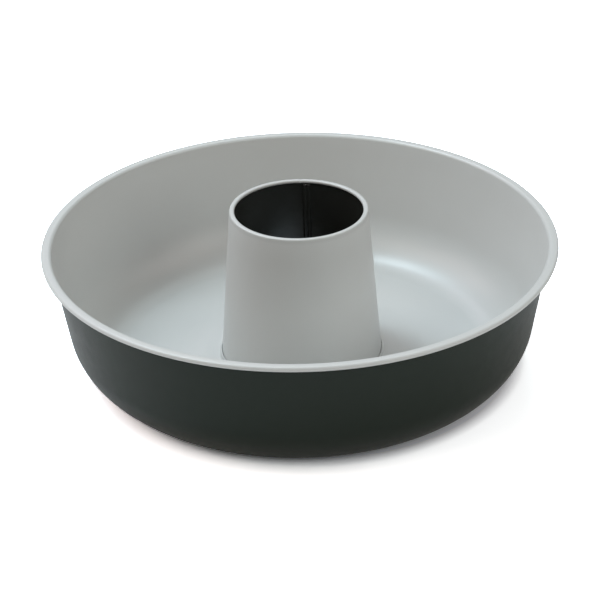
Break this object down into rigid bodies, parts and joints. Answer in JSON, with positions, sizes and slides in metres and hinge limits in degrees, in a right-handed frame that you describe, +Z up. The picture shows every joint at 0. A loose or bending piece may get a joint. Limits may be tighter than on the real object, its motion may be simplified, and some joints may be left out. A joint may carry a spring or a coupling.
{
  "type": "ring cake pan",
  "caption": "Low round cake pan with a flared, round-cornered wall, a flat flange with a rolled edge and a fixed conical centre tube.",
  "frame": {"origin": "middle of the base, on the surface that the pan stands on", "axes": "+Z up along the axis of the tube; the tube's seam lies towards +Y"},
  "size_m": [0.272, 0.272, 0.0872],
  "materials": {
    "dark_outer_coat": "fine satin dark green-grey coat outside, light grey coat inside and over the rim",
    "grey_inner_coat": "fine satin light grey non-stick coat, near-black inside the tube"
  },
  "bodies": {
    "root": {"pan_shell": "dark_outer_coat", "centre_tube": "grey_inner_coat"}
  },
  "joints": []
}
